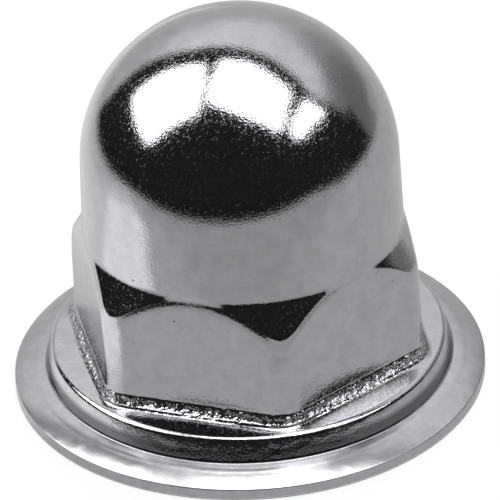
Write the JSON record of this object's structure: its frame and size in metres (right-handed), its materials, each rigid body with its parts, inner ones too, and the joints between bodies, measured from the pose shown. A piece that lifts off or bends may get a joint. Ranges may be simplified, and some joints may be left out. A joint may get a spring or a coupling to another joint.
{
  "type": "cap nut",
  "caption": "Domed hexagon cap nut with a round collar and a wide thin washer face, closed over a blind threaded hole.",
  "frame": {"origin": "centre of the washer face's underside, on the thread's axis", "axes": "+Z along the thread's axis from the washer face to the top of the dome, +X and -X out of two of the six flats"},
  "size_m": [0.019, 0.019, 0.0165],
  "materials": {
    "bright_plate": "bright nickel plate over steel: near mirror on the dome, satin on the flats, neck and washer face"
  },
  "bodies": {
    "root": {"cap_nut": "bright_plate"}
  },
  "joints": []
}
